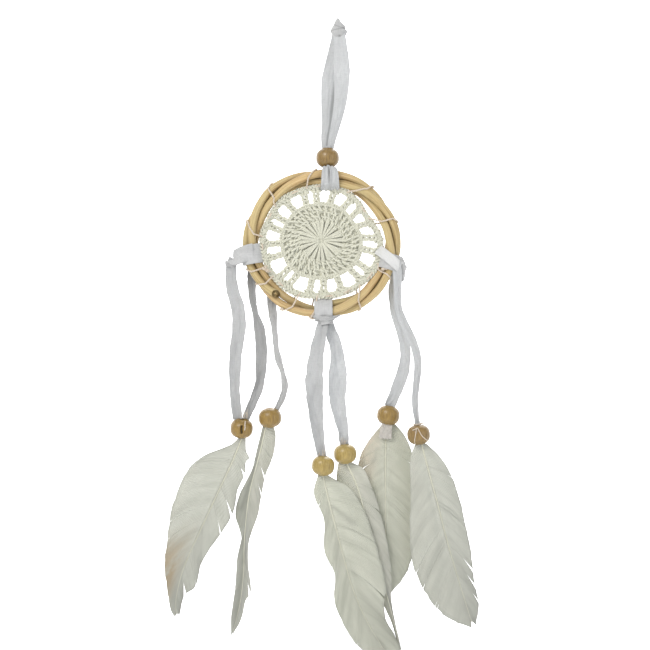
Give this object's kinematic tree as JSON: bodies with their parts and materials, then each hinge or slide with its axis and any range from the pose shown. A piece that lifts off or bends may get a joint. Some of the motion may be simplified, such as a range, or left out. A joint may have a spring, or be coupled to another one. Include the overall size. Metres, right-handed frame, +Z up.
{
  "type": "dream catcher",
  "caption": "Hanging dream catcher: twisted cane ring round a crochet web, on a ribbon loop, with ribbons, wooden beads and feathers below.",
  "frame": {"origin": "where the loop hangs on its hook, just under the knot", "axes": "+Z up, -Y towards the viewer, +X to the viewer's right"},
  "size_m": [0.1763, 0.0248, 0.3611],
  "materials": {
    "cane": "dry peeled cane",
    "crochet": "matt cotton yarn",
    "thread": "waxed cotton thread",
    "bead": "satin varnish",
    "ribbon": "soft woven ribbon",
    "feather": "soft feather vane"
  },
  "bodies": {
    "hanger": {"loop_knot": "ribbon", "loop_leg_front": "ribbon", "loop_leg_back": "ribbon"},
    "top_bead": {"top_bead": "bead"},
    "swivel": {"top_hitch": "ribbon"},
    "ring": {"ring_cane_a": "cane", "ring_cane_b": "cane", "ring_cane_c": "cane", "crochet_web": "crochet", "lacing_thread": "thread", "left_hitch": "ribbon", "bottom_hitch": "ribbon", "right_hitch": "ribbon", "rear_tab": "ribbon"},
    "left_strand": {"left_ribbon_outer": "ribbon", "left_ribbon_inner": "ribbon"},
    "left_pendant": {"outer_left_bead": "bead", "outer_left_feather": "feather"},
    "rear_strand": {"rear_ribbon": "ribbon"},
    "rear_pendant": {"inner_left_bead": "bead", "inner_left_feather": "feather"},
    "bottom_back_strand": {"bottom_ribbon_back": "ribbon", "bottom_back_bead": "bead", "bottom_back_feather": "feather"},
    "bottom_front_strand": {"bottom_ribbon_front": "ribbon"},
    "bottom_front_pendant": {"bottom_front_bead": "bead", "bottom_front_feather": "feather"},
    "right_back_strand": {"right_ribbon_back": "ribbon", "inner_right_bead": "bead", "inner_right_feather": "feather"},
    "right_front_strand": {"right_ribbon_front": "ribbon"},
    "right_front_pendant": {"outer_right_bead": "bead", "outer_right_feather": "feather", "bead_tie": "thread"}
  },
  "joints": [
    {"name": "bead_slide", "type": "slide", "parent": "hanger", "child": "top_bead", "axis": [0.07, 0, 0.9975], "range_m": [0, 0.034], "deforming": ["loop_leg_front", "loop_leg_back"]},
    {"name": "loop_swivel", "type": "hinge", "parent": "hanger", "child": "swivel", "pos_m": [-0.0062, 0, -0.065], "axis": [0, 0, 1], "range_deg": [-180, 180], "stiffness_Nm_per_rad": 0.0003},
    {"name": "ring_swing", "type": "hinge", "parent": "swivel", "child": "ring", "pos_m": [-0.0049, 0, -0.0773], "axis": [1, 0, 0], "range_deg": [-30, 30]},
    {"name": "left_swing", "type": "hinge", "parent": "ring", "child": "left_strand", "pos_m": [-0.054, 0.0062, -0.137], "axis": [1, 0, 0], "range_deg": [-35, 35]},
    {"name": "left_twist", "type": "hinge", "parent": "left_strand", "child": "left_pendant", "pos_m": [-0.0546, 0.0062, -0.2167], "axis": [0, 0, 1], "range_deg": [-60, 60], "stiffness_Nm_per_rad": 0.00015},
    {"name": "rear_swing", "type": "hinge", "parent": "ring", "child": "rear_strand", "pos_m": [-0.0376, 0.0062, -0.148], "axis": [1, 0, 0], "range_deg": [-35, 35]},
    {"name": "rear_twist", "type": "hinge", "parent": "rear_strand", "child": "rear_pendant", "pos_m": [-0.0386, 0.0062, -0.2108], "axis": [0, 0, 1], "range_deg": [-60, 60], "stiffness_Nm_per_rad": 0.00015},
    {"name": "bottom_back_swing", "type": "hinge", "parent": "ring", "child": "bottom_back_strand", "pos_m": [-0.0054, 0, -0.1586], "axis": [1, 0, 0], "range_deg": [-30, 0]},
    {"name": "bottom_front_swing", "type": "hinge", "parent": "bottom_back_strand", "child": "bottom_front_strand", "pos_m": [-0.0092, -0.005, -0.1586], "axis": [1, 0, 0], "range_deg": [-25, 0]},
    {"name": "bottom_front_twist", "type": "hinge", "parent": "bottom_front_strand", "child": "bottom_front_pendant", "pos_m": [-0.0087, -0.005, -0.2369], "axis": [0, 0, 1], "range_deg": [-45, 0], "stiffness_Nm_per_rad": 0.00015},
    {"name": "right_back_swing", "type": "hinge", "parent": "ring", "child": "right_back_strand", "pos_m": [0.0318, 0.0062, -0.1364], "axis": [1, 0, 0], "range_deg": [0, 40]},
    {"name": "right_front_swing", "type": "hinge", "parent": "ring", "child": "right_front_strand", "pos_m": [0.0337, -0.0062, -0.1364], "axis": [1, 0, 0], "range_deg": [-40, 0]},
    {"name": "right_front_twist", "type": "hinge", "parent": "right_front_strand", "child": "right_front_pendant", "pos_m": [0.0445, -0.0062, -0.2195], "axis": [0, 0, 1], "range_deg": [-45, 0], "stiffness_Nm_per_rad": 0.00015}
  ]
}
